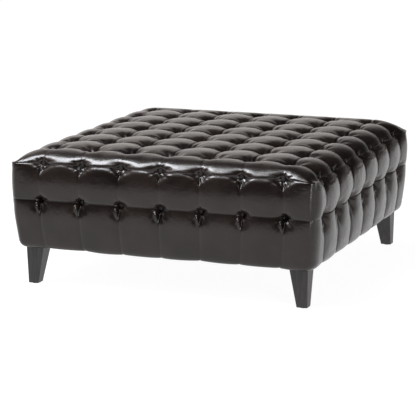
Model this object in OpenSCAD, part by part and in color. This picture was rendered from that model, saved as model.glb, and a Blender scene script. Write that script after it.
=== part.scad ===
// Square cocktail ottoman, deep tufted in dark faux leather, on four tapered wooden legs.
// Millimetres. Z is up, the floor is Z = 0, and the front faces -Y.

/* [Body] */
// Side of the square body, over the fullest leather puffs
body_w = 1000; // [800:1:1200]
// Height from the floor to the crown of the top
seat_h = 438; // [400:1:500]
// Rise of the top's middle puffs over its outer ones
crown = 4; // [0:1:8]
// Drop from the outer puffs of the top to the edge pleat
shoulder_drop = 40; // [34:1:48]
// Drop from the edge pleat to the pleat round the middle of the sides
upper_band_h = 115; // [90:1:130]
// Inward slope of the sides below the middle pleat
side_slope = 17; // [6:1:20]
// Radius where the leather turns under the frame
turn_under_r = 22; // [12:1:24]

/* [Tufting] */
// Tufts in a row of the top, and along each side
tuft_count = 7; // [6:1:8]
// Distance from the last tuft to the face of the body
tuft_margin = 107; // [98:1:125]
// Depth of a tuft in the top
top_tuft_depth = 35; // [24:1:38]
// Depth of a tuft in the edge pleat and in the sides
side_tuft_depth = 28; // [18:1:30]
// Share of the depth that a pleat rises to midway between two tufts
pleat_rise = 0.6; // [0.4:0.01:0.75]
// The same share for the deeper pleat round the edge of the top
edge_pleat_rise = 0.42; // [0.3:0.01:0.6]
// Diameter of a covered button
button_d = 14; // [12:1:18]
// Thickness of a covered button at its middle
button_h = 8; // [7:1:10]
// Diameter of the tufting twine
twine_d = 2; // [1.5:0.1:3]
// Diameter of the washers that the twine is tied to
washer_d = 20; // [14:1:22]
// Thickness of those washers
washer_t = 2; // [1.5:0.1:3]

/* [Padding] */
// Thickness of the foam slab on the deck
top_foam_t = 50; // [35:1:60]
// Thickness of the foam on the sides
side_foam_t = 8; // [6:1:10]
// Thickness of leather and wadding, from the foam to the fullest puffs of the sides
side_cover_t = 35; // [34:1:38]
// Thickness of the leather
leather_t = 1.5; // [1:0.1:2]
// Width of the leather hem under the foam and the frame
hem_w = 28; // [24:1:30]
// Thickness of the dust cover
dust_t = 0.8; // [0.5:0.1:1.2]

/* [Frame] */
// Thickness of the plywood side rails
rail_t = 18; // [15:1:22]
// Thickness of the plywood deck
deck_t = 12; // [9:1:15]
// Side of a square corner block
block_w = 70; // [64:1:76]
// Drop from the middle pleat to the top of a corner block
block_drop = 14; // [12:1:60]
// Width of the deck bearers and base slats
bearer_w = 20; // [18:1:28]
// Depth of the deck bearers
bearer_h = 60; // [40:1:70]
// Thickness of the base slats
slat_h = 20; // [15:1:25]

/* [Legs] */
// Height of a leg, without its glide
leg_h = 122.7; // [80:0.1:140]
// Side of the square top of a leg
leg_top_w = 60; // [54:1:64]
// Side of the square foot of a leg
leg_foot_w = 34; // [28:1:44]
// Step in from the frame's face to the outer faces of a leg, at its top
leg_inset = -10; // [-10:1:4]
// Lean of the outer faces of a leg, from top to foot
leg_lean = 3; // [0:1:8]
// Radius of a leg's edges
leg_edge_r = 2.5; // [1:0.5:5]
// Diameter of the nailed glide
glide_d = 22; // [16:1:26]
// Thickness of the glide
glide_t = 3; // [2:0.5:6]

/* [Fasteners] */
// Diameter of the hanger bolt in a leg
bolt_d = 8; // [6:1:10]
// Depth of the hanger bolt in the leg
bolt_in_leg = 35; // [25:1:40]
// Depth of the hanger bolt in the frame
bolt_in_frame = 20; // [14:1:24]
// Outer diameter of the threaded insert
insert_d = 12; // [11:0.5:14]
// Length of the threaded insert
insert_l = 24; // [20:1:26]
// Distance from a corner block's outer faces to the bolt
bolt_setback = 10; // [8:1:14]
// Shank diameter of the frame screws
screw_d = 4; // [3:0.5:5]
// Length of the frame screws
screw_l = 45; // [35:1:50]
// Width of a staple
staple_w = 10; // [8:1:12]
// Thickness of the staple wire
staple_t = 0.7; // [0.5:0.1:0.8]

/* [Hidden] */

// Clearance between soft pieces that meet at a seam
seam_gap = 0.3;
// Clearance round a twine, and round a screw or a bolt, on the diameter
twine_clearance = 1.6;
screw_clearance = 0.2;
// Rise of a button's point over the bottom of its tuft, where it just clears the leather
button_gap = 1.4;
// The same rise in the edge pleat, whose tufts are steeper above than below
edge_button_gap = 0.8;
// Upward tilt of the buttons in the edge pleat
edge_button_tilt = 10;
// Clearance between a rail and the washers along the deck's edge
washer_gap = 4;
// Thickness of the top cover at the edge pleat
rim_t = 3;
// Cells between tufts, and the steps in a cell along the top, along a side and down a band
cells = tuft_count + 1;
top_steps = 4;
side_steps = 6;
upper_steps = 4;
lower_steps = 5;
// Roundness of the shoulder: 2 is an ellipse, more is squarer
shoulder_square = 2.6;
// Sharpness of a pleat, and of the dome between pleats
pleat_power = 0.7;
dome_power = 0.6;
// Share of the lower band's pleats that is gone at its foot
fold_fade = 0.75;
// Easing of the body's vertical corners, and the share of a pleat that is gone there
corner_ease = 7;
corner_fade = 0.7;

// Heights, from the floor up
leg_top_z = glide_t + leg_h;
hem_z = leg_top_z + dust_t;
frame_z = hem_z + leather_t;
crest_z = seat_h - crown;
edge_z = crest_z - shoulder_drop;
middle_z = edge_z - upper_band_h;
foam_z = edge_z - rim_t;
deck_z = foam_z - top_foam_t;
rail_z = deck_z - deck_t;
block_h = middle_z - block_drop - frame_z;

// Half widths, from the middle out
pitch = (body_w - 2 * tuft_margin) / (tuft_count - 1);
last_tuft = pitch * (tuft_count - 1) / 2;
face = body_w / 2;
foam_face = face - side_cover_t;
frame_face = foam_face - side_foam_t;
rail_in = frame_face - rail_t;
bolt_at = rail_in - bolt_setback;
leg_out = frame_face - leg_inset;
edge_hole_at = rail_in - washer_d / 2 - washer_gap;
bearer_at = last_tuft - pitch * (floor((tuft_count - 1) / 4) + 0.5);
dust_w = 2 * (frame_face - 7);
tuft_line = [for (i = [0 : tuft_count - 1]) i * pitch - last_tuft];

// Turns a front piece to the front, right, back and left of the body
FRONT = 0;
RIGHT = 90;
BACK = 180;
LEFT = 270;
SIDES = [FRONT, RIGHT, BACK, LEFT];

// Shape of the tufting
// Arch from one pleat to the next, for s from 0 to 1
function arch(s) = sin(180 * s);
// Height of a leather puff, from 0 in a tuft to 1 on its crown
function puff(s, t, rise = pleat_rise, dome = 1) =
    let (along = pow(arch(s), pleat_power), across = pow(arch(t), pleat_power))
    rise * (1 - (1 - along) * (1 - across))
    + (1 - rise) * (1 - dome * (1 - pow(arch(s) * arch(t), dome_power)));
// Share that a pleat rises to: lower towards the edge pleat, and nearly full at a corner
function rise_by(edge, corner) =
    let (rise = pleat_rise + (edge_pleat_rise - pleat_rise) * pow(edge, 2))
    rise + (1 - rise) * corner_fade * pow(corner, 2);

// Shoulder curve of the top: 0 at the last tuft, 1 at the edge pleat
function shoulder(i) =
    let (cell = floor(i / top_steps), s = i / top_steps - cell)
    cell == 0 ? s - 1 : cell >= cells - 1 ? i / top_steps - cells + 1 : 0;
function share(i) = i / top_steps - floor(i / top_steps);
function bend(t) = pow(sin(90 * abs(t)), 2 / shoulder_square) * sign(t);
function fall(t) = pow(cos(90 * abs(t)), 2 / shoulder_square);
function reach(i) =
    let (t = shoulder(i))
    t == 0 ? (i / top_steps - cells / 2) * pitch
           : bend(t) * (face - last_tuft) + last_tuft * sign(t);

// Ease of the corner, from 0 at the last tuft to the full ease at the corner itself
function ease(t) = corner_ease * pow(abs(t), 6);
// A puff next to a corner stays full up to it, with no tuft there
function full(t) = min(abs(t), 0.5);

function top_point(i, j) =
    let (
        tx = shoulder(i),
        ty = shoulder(j),
        x = reach(i),
        y = reach(j),
        edge = max(abs(tx), abs(ty)),
        corner = min(abs(tx), abs(ty)),
        depth = top_tuft_depth + (side_tuft_depth - top_tuft_depth) * edge,
        rise = rise_by(edge, corner),
        height = corner > 0
            ? min(puff(abs(tx), full(ty), rise), puff(full(tx), abs(ty), rise))
            : puff(share(i), share(j), rise),
        sunk = depth * (1 - height),
        middle = (1 - pow(x / face, 2)) * (1 - pow(y / face, 2)),
        eased = ease(corner)
    )
    [
        x - sin(90 * tx) * sunk - sign(tx) * eased,
        y - sin(90 * ty) * sunk - sign(ty) * eased,
        edge_z + shoulder_drop * fall(tx) * fall(ty) + crown * middle
            - cos(90 * tx) * cos(90 * ty) * sunk
    ];

// Two triangles for a square of a grid, its diagonal turned towards the crown of its puff
function square(a, b, c, d, turned) =
    turned ? [[a, b, d], [b, c, d]] : [[a, b, c], [a, c, d]];

module tufted_top() {
    last = cells * top_steps;
    row = last + 1;
    skin = [for (j = [0 : last], i = [0 : last]) top_point(i, j)];
    ring = concat(
        [for (i = [0 : last - 1]) i],
        [for (j = [0 : last - 1]) j * row + last],
        [for (i = [0 : last - 1]) last * row + last - i],
        [for (j = [0 : last - 1]) (last - j) * row]
    );
    count = len(ring);
    under = [for (k = ring) [skin[k].x, skin[k].y, foam_z]];
    first = len(skin);
    points = concat(skin, under, [[0, 0, foam_z]]);
    half = top_steps / 2;
    faces = concat(
        [
            for (j = [0 : last - 1], i = [0 : last - 1])
            let (k = j * row + i, turned = (i % top_steps < half) != (j % top_steps < half))
            each square(k, k + row, k + row + 1, k + 1, turned)
        ],
        [
            for (k = [0 : count - 1])
            let (n = (k + 1) % count)
            each [
                [ring[k], ring[n], first + n],
                [ring[k], first + n, first + k],
                [first + k, first + n, first + count]
            ]
        ]
    );
    polyhedron(points = points, faces = faces, convexity = 10);
}

// Places along a side: the tufts' own pitch, then a last cell that ends at the corner
function side_end(i) =
    let (t = i / side_steps)
    t < 1 ? t - 1 : t > cells - 1 ? t - cells + 1 : 0;
function side_share(i) =
    side_end(i) == 0 ? i / side_steps - floor(i / side_steps) : full(side_end(i));
function side_place(i, out) =
    let (t = side_end(i))
    t == 0 ? (i / side_steps - cells / 2) * pitch
           : sign(t) * (last_tuft + abs(t) * (out - last_tuft - seam_gap));

// Points of a side's section at one place along it, each as [distance out, height]
function band_out(i, t, base, edge, dome) =
    let (rise = rise_by(edge, abs(side_end(i))))
    base - side_tuft_depth * (1 - puff(side_share(i), t, rise, dome)) - ease(side_end(i));
function side_section(i) =
    let (
        top_z = edge_z - rim_t,
        turn_z = frame_z + turn_under_r,
        low = face - side_slope,
        foot = band_out(i, 0.5, low, 0, 1 - fold_fade)
    )
    concat(
        [
            for (k = [0 : upper_steps - 1])
            let (t = k / upper_steps)
            [band_out(i, t, face, 1 - t, 1), top_z - t * (top_z - middle_z)]
        ],
        [
            for (k = [0 : lower_steps - 1])
            let (t = k / lower_steps, base = face - side_slope * pow(t, 1.5))
            [
                band_out(i, t / 2, base, 0, 1 - t * fold_fade),
                middle_z - t * (middle_z - turn_z)
            ]
        ],
        [
            [foot, turn_z],
            [foot - turn_under_r * (1 - cos(45)), turn_z - (turn_z - hem_z) * sin(45)],
            [foam_face + 0.5, hem_z],
            [foam_face - hem_w, hem_z],
            [foam_face - hem_w, frame_z],
            [foam_face, frame_z],
            [foam_face, top_z]
        ]
    );

module tufted_side() {
    last = cells * side_steps;
    sections = [for (i = [0 : last]) side_section(i)];
    count = len(sections[0]);
    points = [
        for (i = [0 : last], q = sections[i])
        [side_place(i, q[0]), -q[0], q[1]]
    ];
    half = side_steps / 2;
    faces = concat(
        [
            for (i = [0 : last - 1], j = [0 : count - 1])
            let (n = (j + 1) % count, k = i * count, turned = (i % side_steps < half) == (j % 4 < 2))
            each square(k + j, k + count + j, k + count + n, k + n, turned)
        ],
        [[for (j = [0 : count - 1]) j]],
        [[for (j = [0 : count - 1]) last * count + count - 1 - j]]
    );
    polyhedron(points = points, faces = faces, convexity = 10);
}

// Placing helpers
module at_top_tufts() {
    for (x = tuft_line, y = tuft_line) translate([x, y, 0]) children();
}
module at_each_side() {
    for (turn = SIDES) rotate([0, 0, turn]) children();
}
module along_side() {
    for (x = tuft_line) translate([x, 0, 0]) children();
}
// Turns +Z outward through the front face
module facing_front() {
    rotate([90, 0, 0]) children();
}

// Covered button, its point a gap above the origin and its face towards +Z
module button(gap = button_gap) {
    rim_z = button_h - 2.4;
    translate([0, 0, gap]) rotate_extrude($fn = 32)
        polygon([
            [0, 0], [1.5, 0], [button_d / 2 - 0.6, rim_z - 0.6], [button_d / 2, rim_z + 0.3],
            [button_d * 0.42, button_h - 0.9], [button_d * 0.25, button_h - 0.2], [0, button_h]
        ]);
}
module washer() {
    difference() {
        cylinder(d = washer_d, h = washer_t, $fn = 32);
        translate([0, 0, -1]) cylinder(d = twine_d + twine_clearance, h = washer_t + 2, $fn = 24);
    }
}

// Slanted run of the twine from the washer under the deck, out to the foam's edge
edge_top = [foam_face - 3, foam_z - 3];
edge_low = [edge_hole_at, rail_z];
edge_run = edge_top - edge_low;
edge_lean = atan2(edge_run[0], edge_run[1]);
// Runs +Z along that slant, from the deck's underside up and out
module along_edge_slant() {
    translate([0, -edge_low[0], edge_low[1]]) rotate([edge_lean, 0, 0]) children();
}

// Soft pieces
module top_cover() { color("#2b2523") tufted_top(); }
module side_cover(turn) { color("#2b2523") rotate([0, 0, turn]) tufted_side(); }

module foam_top() {
    hole_d = twine_d + twine_clearance;
    color("#e8dcae") difference() {
        translate([-foam_face, -foam_face, deck_z])
            cube([2 * foam_face, 2 * foam_face, foam_z - deck_z]);
        at_top_tufts() translate([0, 0, deck_z - 1])
            cylinder(d = hole_d, h = top_foam_t + 2, $fn = 24);
        at_each_side() along_side() along_edge_slant() cylinder(d = hole_d, h = 2 * norm(edge_run), $fn = 24);
    }
}
module side_foam(turn) {
    color("#e8dcae") rotate([0, 0, turn]) difference() {
        rotate([90, 0, 0]) linear_extrude(height = foam_face)
            polygon([
                [-foam_face, frame_z], [foam_face, frame_z], [foam_face, deck_z], [-foam_face, deck_z]
            ]);
        // Mitred ends, and the space of the frame behind the foam
        for (s = [-1, 1]) translate([-s * seam_gap, 0, 0])
            linear_extrude(height = 2 * seat_h)
                polygon([[0, 0], [s * 2 * body_w, -2 * body_w], [s * 2 * body_w, 0]]);
        translate([-body_w, -frame_face, 0]) cube([2 * body_w, 2 * body_w, 2 * seat_h]);
        along_side() translate([0, 0, middle_z]) facing_front()
            cylinder(d = twine_d + twine_clearance, h = body_w, $fn = 24);
    }
}

// Frame
module screw_solid(extra = 0) {
    // Countersunk head at Z = 0, shank down
    rotate_extrude($fn = 24) polygon([
        [0, 0], [screw_d + extra, 0], [screw_d / 2 + extra / 2, -screw_d * 0.6],
        [screw_d / 2 + extra / 2, -screw_l + 4], [0, -screw_l]
    ]);
}
block_screw_z = [[0.24, 0.78], [0.42, 0.6]];
// Screws through a rail into its corner blocks and its bearer or slat ends
module rail_screws(turn, extra = 0) {
    pair = turn % 180 == 0 ? 0 : 1;
    rotate([0, 0, turn]) {
        for (x = [-1, 1], f = block_screw_z[pair])
            translate([x * (rail_in - block_w / 2), -frame_face, frame_z + f * block_h])
                facing_front() screw_solid(extra);
        if (pair == 0)
            for (x = [-1, 1], z = [frame_z + slat_h / 2, rail_z - bearer_h / 2])
                translate([x * bearer_at, -frame_face, z]) facing_front() screw_solid(extra);
    }
}
// Screws down through the deck into a rail, midway between tufts
module deck_screws(turn, extra = 0) {
    middle = floor(tuft_count / 2) - 1;
    spots = tuft_count % 2 == 1 ? [0, middle, middle + 1, tuft_count - 2] : [0, middle, tuft_count - 2];
    rotate([0, 0, turn]) for (k = spots)
        translate([(k + 0.5) * pitch - last_tuft, -frame_face + rail_t / 2, deck_z])
            screw_solid(extra);
}

module deck() {
    hole_d = twine_d + twine_clearance;
    color("#c9a877") difference() {
        translate([-frame_face, -frame_face, rail_z])
            cube([2 * frame_face, 2 * frame_face, deck_t]);
        at_top_tufts() translate([0, 0, rail_z - 1]) cylinder(d = hole_d, h = deck_t + 2, $fn = 24);
        at_each_side() along_side() along_edge_slant() translate([0, 0, -hole_d])
            cylinder(d = hole_d, h = norm(edge_run), $fn = 24);
        for (turn = SIDES) deck_screws(turn, screw_clearance);
    }
}
// Front and back rails run the full width, and the left and right ones fit between them
module rail(turn) {
    half = turn % 180 == 0 ? frame_face : rail_in;
    color("#c9a877") difference() {
        rotate([0, 0, turn]) translate([-half, -frame_face, frame_z])
            cube([2 * half, rail_t, rail_z - frame_z]);
        rotate([0, 0, turn]) along_side() translate([0, 0, middle_z]) facing_front()
            cylinder(d = twine_d + twine_clearance, h = body_w, $fn = 24);
        rail_screws(turn, screw_clearance);
        deck_screws(turn, screw_clearance);
    }
}
module bearer(side) {
    color("#d9bf8c") difference() {
        translate([side * bearer_at - bearer_w / 2, -rail_in, rail_z - bearer_h])
            cube([bearer_w, 2 * rail_in, bearer_h]);
        for (turn = [FRONT, BACK]) rail_screws(turn, screw_clearance);
    }
}
module base_slat(side) {
    color("#d9bf8c") difference() {
        translate([side * bearer_at - bearer_w / 2, -rail_in, frame_z])
            cube([bearer_w, 2 * rail_in, slat_h]);
        for (turn = [FRONT, BACK]) rail_screws(turn, screw_clearance);
    }
}
module corner_block(sx, sy) {
    color("#d9bf8c") difference() {
        translate([
            sx > 0 ? rail_in - block_w : -rail_in,
            sy > 0 ? rail_in - block_w : -rail_in,
            frame_z
        ]) cube([block_w, block_w, block_h]);
        translate([sx * bolt_at, sy * bolt_at, frame_z - 1])
            cylinder(d = insert_d, h = insert_l + 1, $fn = 32);
        for (turn = SIDES) rail_screws(turn, screw_clearance);
    }
}

// Tufting hardware
module top_buttons() {
    bottom = crest_z - top_tuft_depth;
    color("#241f1e") for (x = tuft_line, y = tuft_line)
        translate([x, y, bottom + crown * (1 - pow(x / face, 2)) * (1 - pow(y / face, 2))])
            button();
}
module edge_buttons() {
    color("#241f1e") at_each_side() along_side()
        translate([0, side_tuft_depth - face, edge_z - rim_t / 2])
            rotate([90 - edge_button_tilt, 0, 0]) button(edge_button_gap);
}
module side_buttons() {
    color("#241f1e") at_each_side() along_side()
        translate([0, side_tuft_depth - face, middle_z]) facing_front() button();
}
module top_twine() {
    color("#e6e0d2") at_top_tufts() translate([0, 0, rail_z - washer_t])
        cylinder(d = twine_d, h = foam_z - rail_z + washer_t, $fn = 16);
}
module edge_twine() {
    // Its square-cut foot just clears the washer
    foot = twine_d / 2 * tan(edge_lean) + seam_gap;
    color("#e6e0d2") at_each_side() along_side() along_edge_slant() translate([0, 0, foot])
        cylinder(d = twine_d, h = norm(edge_run) - foot, $fn = 16);
}
module side_twine() {
    color("#e6e0d2") at_each_side() along_side()
        translate([0, -rail_in + washer_t, middle_z]) facing_front()
            cylinder(d = twine_d, h = foam_face - rail_in + washer_t, $fn = 16);
}
module top_washers() {
    color("#b9b9b4") at_top_tufts() translate([0, 0, rail_z - washer_t]) washer();
}
module edge_washers() {
    color("#b9b9b4") at_each_side() along_side()
        translate([0, -edge_hole_at, rail_z - washer_t]) washer();
}
module side_washers() {
    color("#b9b9b4") at_each_side() along_side()
        translate([0, -rail_in + washer_t, middle_z]) facing_front() washer();
}

// Legs and what holds them
module rounded_square(side) {
    offset(r = leg_edge_r, $fn = 24) square(side - 2 * leg_edge_r, center = true);
}
leg_centre = leg_out - leg_top_w / 2;
foot_centre = leg_out - leg_lean - leg_foot_w / 2;
module leg(sx, sy) {
    color("#2a2728") difference() {
        hull() {
            translate([sx * leg_centre, sy * leg_centre, leg_top_z - 1])
                linear_extrude(height = 1) rounded_square(leg_top_w);
            translate([sx * foot_centre, sy * foot_centre, glide_t])
                linear_extrude(height = 1) rounded_square(leg_foot_w);
        }
        translate([sx * bolt_at, sy * bolt_at, leg_top_z - bolt_in_leg])
            cylinder(d = bolt_d + screw_clearance, h = bolt_in_leg + 1, $fn = 32);
    }
}
module hanger_bolts() {
    color("#a9a9a6") for (sx = [-1, 1], sy = [-1, 1])
        translate([sx * bolt_at, sy * bolt_at, leg_top_z - bolt_in_leg])
            cylinder(d = bolt_d, h = bolt_in_leg + frame_z - leg_top_z + bolt_in_frame, $fn = 32);
}
module threaded_inserts() {
    color("#b59b62") for (sx = [-1, 1], sy = [-1, 1])
        translate([sx * bolt_at, sy * bolt_at, frame_z]) difference() {
            cylinder(d = insert_d, h = insert_l, $fn = 32);
            translate([0, 0, -1]) cylinder(d = bolt_d + screw_clearance, h = insert_l + 2, $fn = 32);
        }
}
module glides() {
    color("#3a3a3a") for (sx = [-1, 1], sy = [-1, 1])
        translate([sx * foot_centre, sy * foot_centre, 0]) rotate_extrude($fn = 32) polygon([
            [0, 0], [glide_d / 2 - 1, 0], [glide_d / 2, 1], [glide_d / 2, glide_t], [0, glide_t]
        ]);
}

// Underside
module dust_cover() {
    color("#1c1c1c") difference() {
        translate([-dust_w / 2, -dust_w / 2, leg_top_z]) cube([dust_w, dust_w, dust_t]);
        for (sx = [-1, 1], sy = [-1, 1]) translate([sx * bolt_at, sy * bolt_at, 0])
            cylinder(d = bolt_d + 4, h = seat_h, $fn = 32);
    }
}
module staples() {
    spots = [for (i = [1 : tuft_count - 2], f = [-0.25, 0.25]) i * pitch - last_tuft + f * pitch];
    color("#b9b9b4") at_each_side() for (x = spots)
        translate([x, -frame_face + rail_t / 2 + 3, leg_top_z - staple_t]) {
            translate([-staple_w / 2, -staple_t, 0]) cube([staple_w, staple_t, staple_t]);
        }
}
module frame_screws() {
    color("#8f8f8c") for (turn = SIDES) {
        rail_screws(turn);
        deck_screws(turn);
    }
}

top_cover();
side_cover(FRONT);  // cover_front
side_cover(BACK);  // cover_back
side_cover(LEFT);  // cover_left
side_cover(RIGHT);  // cover_right
foam_top();
side_foam(FRONT);  // foam_front
side_foam(BACK);  // foam_back
side_foam(LEFT);  // foam_left
side_foam(RIGHT);  // foam_right
deck();
rail(FRONT);  // rail_front
rail(BACK);  // rail_back
rail(LEFT);  // rail_left
rail(RIGHT);  // rail_right
bearer(-1);  // bearer_left
bearer(1);  // bearer_right
base_slat(-1);  // base_slat_left
base_slat(1);  // base_slat_right
corner_block(-1, -1);  // corner_block_front_left
corner_block(1, -1);  // corner_block_front_right
corner_block(-1, 1);  // corner_block_back_left
corner_block(1, 1);  // corner_block_back_right
top_buttons();
edge_buttons();
side_buttons();
top_twine();
edge_twine();
side_twine();
top_washers();
edge_washers();
side_washers();
leg(-1, -1);  // leg_front_left
leg(1, -1);  // leg_front_right
leg(-1, 1);  // leg_back_left
leg(1, 1);  // leg_back_right
hanger_bolts();
threaded_inserts();
glides();
dust_cover();
staples();
frame_screws();
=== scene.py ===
import math

import bpy
import numpy as np
from mathutils import Matrix, Vector


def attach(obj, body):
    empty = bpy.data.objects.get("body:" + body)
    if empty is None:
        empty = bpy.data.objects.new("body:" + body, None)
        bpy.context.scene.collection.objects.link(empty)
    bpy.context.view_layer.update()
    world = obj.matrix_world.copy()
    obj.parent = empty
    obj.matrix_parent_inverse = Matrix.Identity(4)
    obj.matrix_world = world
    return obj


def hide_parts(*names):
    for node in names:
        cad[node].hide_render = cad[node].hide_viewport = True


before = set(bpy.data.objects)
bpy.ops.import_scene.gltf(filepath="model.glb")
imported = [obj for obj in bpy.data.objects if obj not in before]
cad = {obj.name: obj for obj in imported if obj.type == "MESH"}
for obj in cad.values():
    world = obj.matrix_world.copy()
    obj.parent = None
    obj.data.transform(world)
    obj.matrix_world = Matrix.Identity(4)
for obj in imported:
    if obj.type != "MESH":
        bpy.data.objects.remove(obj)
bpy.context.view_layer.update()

# Studio
# A camera stands six metres off, a little to the right and at chest height. The ottoman is on a
# broad white floor. Three soft boxes hang overhead, each dimmer than the one to its left, a tall
# strip stands at the right, and the walls far behind it all are pale.
camera_yaw, camera_pitch, camera_roll = 0.376574, 0.209491, -0.0067103
camera_place = Vector((2.2027, -5.6598, 1.4750))
back = Vector((math.sin(camera_yaw) * math.cos(camera_pitch),
               -math.cos(camera_yaw) * math.cos(camera_pitch), math.sin(camera_pitch)))
right = Vector((math.cos(camera_yaw), math.sin(camera_yaw), 0))
up = back.cross(right)
level_right = right * math.cos(camera_roll) + up * math.sin(camera_roll)
level_up = up * math.cos(camera_roll) - right * math.sin(camera_roll)
camera_data = bpy.data.cameras.new("studio_camera")
camera_data.lens, camera_data.sensor_width = 163.80, 36
camera_data.clip_start, camera_data.clip_end = 0.1, 100
camera = bpy.data.objects.new("studio_camera", camera_data)
camera.matrix_world = Matrix(((level_right.x, level_up.x, back.x, camera_place.x),
                              (level_right.y, level_up.y, back.y, camera_place.y),
                              (level_right.z, level_up.z, back.z, camera_place.z),
                              (0, 0, 0, 1)))
bpy.context.collection.objects.link(camera)
bpy.context.scene.camera = camera
bpy.context.scene.view_settings.view_transform = "Standard"


class Wire:
    """One output of a shader node. Arithmetic on it adds the Math nodes that work it out."""

    def __init__(self, tree, socket=None):
        self.tree, self.socket = tree, socket

    def node(self, kind, settings=None, sockets=None, out=0):
        """A new node with these settings, then these values or links in its sockets."""
        made = self.tree.nodes.new(kind)
        for name, value in (settings or {}).items():
            setattr(made, name, value)
        for name, value in (sockets or {}).items():
            if isinstance(value, Wire):
                self.tree.links.new(value.socket, made.inputs[name])
            elif isinstance(value, tuple) and made.inputs[name].type == "RGBA":
                made.inputs[name].default_value = (*value, 1)
            else:
                made.inputs[name].default_value = value
        return Wire(self.tree, made.outputs[out] if made.outputs else None)

    def maths(self, operation, *values):
        """A Math node on these values."""
        return self.node("ShaderNodeMath", {"operation": operation}, dict(enumerate(values)))

    def __add__(self, other):
        return self.maths("ADD", self, other)

    def __radd__(self, other):
        return self.maths("ADD", other, self)

    def __sub__(self, other):
        return self.maths("SUBTRACT", self, other)

    def __rsub__(self, other):
        return self.maths("SUBTRACT", other, self)

    def __mul__(self, other):
        return self.maths("MULTIPLY", self, other)

    def __rmul__(self, other):
        return self.maths("MULTIPLY", other, self)

    def __truediv__(self, other):
        return self.maths("DIVIDE", self, other)

    def __rtruediv__(self, other):
        return self.maths("DIVIDE", other, self)

    def __pow__(self, other):
        return self.maths("POWER", self, other)

    def sine(self):
        return self.maths("SINE", self)

    def step(self, low, high):
        """0 below low, 1 above high and smooth between them."""
        return self.node("ShaderNodeMapRange", {"interpolation_type": "SMOOTHSTEP"},
                         {"Value": self, "From Min": low, "From Max": high})

    def mix(self, first, second):
        """The first colour where this is 0 and the second where it is 1."""
        return self.node("ShaderNodeMix", {"data_type": "RGBA"},
                         {0: self, 6: first, 7: second}, 2)

    def xyz(self):
        """The three parts of a vector."""
        parts = self.node("ShaderNodeSeparateXYZ", {}, {0: self}).socket.node.outputs
        return [Wire(self.tree, part) for part in parts]


def paint(name):
    """A new empty node material, as the material and a wire in its tree."""
    made = bpy.data.materials.new(name)
    made.use_nodes = True
    made.node_tree.nodes.clear()
    return made, Wire(made.node_tree)


world = bpy.data.worlds.new("studio")
world.use_nodes = True
bpy.context.scene.world = world
world.node_tree.nodes.clear()
sky = Wire(world.node_tree)
east, north, height = sky.node("ShaderNodeTexCoord").xyz()
level = (1.0 - height * height) ** 0.5

# the walls are bright behind the ottoman at the left and dim round the rest of the room
behind_left = ((north * 0.64 - east * 0.77) / level).step(0.50, 0.92)
low_wall = 0.05 + behind_left * 0.95
ceiling = height.step(0.45, 0.85)
room = low_wall + (0.06 - low_wall) * ceiling

# a broad glow stands high in front at the left, a small one at the right, and the wall at the
# right is lit near the floor
halo = (east * -0.46 + north * -0.34 + height * 0.82).step(0.72, 1.0)
right_fill = (east * 0.93 + north * -0.33 + height * 0.16).step(0.84, 0.99)
right_wall = ((east * 0.86 + north * 0.51) / level).step(0.25, 0.80)
right_glow = right_wall * (1 - height.step(0.0, 0.42)) * 0.28
light = room + halo * 1.3 + right_fill * 0.25 + right_glow
cast = (right_fill + right_glow).mix((1.0, 0.945, 0.91), (1.0, 0.90, 0.84))
shade = sky.node("ShaderNodeBackground", {}, {"Color": cast, "Strength": light})
sky.node("ShaderNodeOutputWorld", {}, {"Surface": shade})


def studio_light(name, long, wide, watts, tint, place, turned_from):
    """A flat rectangular light that shines the opposite way to the direction it is given."""
    light_data = bpy.data.lights.new(name, "AREA")
    light_data.shape = "RECTANGLE"
    light_data.size, light_data.size_y = long, wide
    light_data.energy = watts
    light_data.color = tint
    made = bpy.data.objects.new(name, light_data)
    made.location = place
    made.rotation_mode = "QUATERNION"
    made.rotation_quaternion = Vector(turned_from).to_track_quat("Z", "Y")
    bpy.context.collection.objects.link(made)
    return made


for name, wide, watts, place_x in (("soft_box", 0.65, 76, -1.32),
                                   ("second_soft_box", 0.40, 23, -0.86),
                                   ("third_soft_box", 0.55, 15, -0.40)):
    studio_light(name, 1.45, wide, watts, (0.86, 0.93, 1.0), (place_x, -1.12, 2.50),
                 (-0.5, 0.0, 0.86))
tall_strip = studio_light("tall_strip", 0.14, 1.6, 16, (0.90, 0.94, 1.0), (2.05, -2.05, 0.82),
                          (1.0, -1.0, 0.0))
tall_strip.visible_camera = False

# the floor glows a little short of white by itself, and its paper takes the ottoman's shadow
bpy.ops.mesh.primitive_circle_add(vertices=96, radius=24, fill_type="NGON")
floor = bpy.context.object
floor.name = "studio_floor"
floor_finish, paper = paint("white_floor")
shadowed = paper.node("ShaderNodeBsdfDiffuse", {}, {"Color": (0.18, 0.18, 0.18)})
glowing = paper.node("ShaderNodeEmission", {}, {"Color": (1, 1, 1), "Strength": 0.955})
both = paper.node("ShaderNodeAddShader", {}, {0: shadowed, 1: glowing})
paper.node("ShaderNodeOutputMaterial", {}, {"Surface": both})
floor.data.materials.append(floor_finish)

# Leather cover
# Coated leather over wadding, cut full, pulled in by 105 tufts and folded into pleats between
# them. The top panel rolls over the edge, and the side band runs round the body to its hem.

# eight cells of puffs a side, a tuft pitch apart, of which the outer ones roll over the shoulder
CELLS, PITCH, LAST_TUFT = 8, 0.131, 0.393

# half the width of the body and of the edge pleat, and how far back each corner is drawn in
BODY_HALF, EDGE_OUT = 0.506, 0.495
CORNER_FRONT, CORNER_SIDE = 0.028, 0.050

# heights of the edge pleat, the crest of the top and the middle pleat, and the top's crown
EDGE_Z, CREST_Z, MIDDLE_Z, CROWN = 0.394, 0.434, 0.279, 0.004
UPPER_BAND = EDGE_Z - MIDDLE_Z

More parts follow.
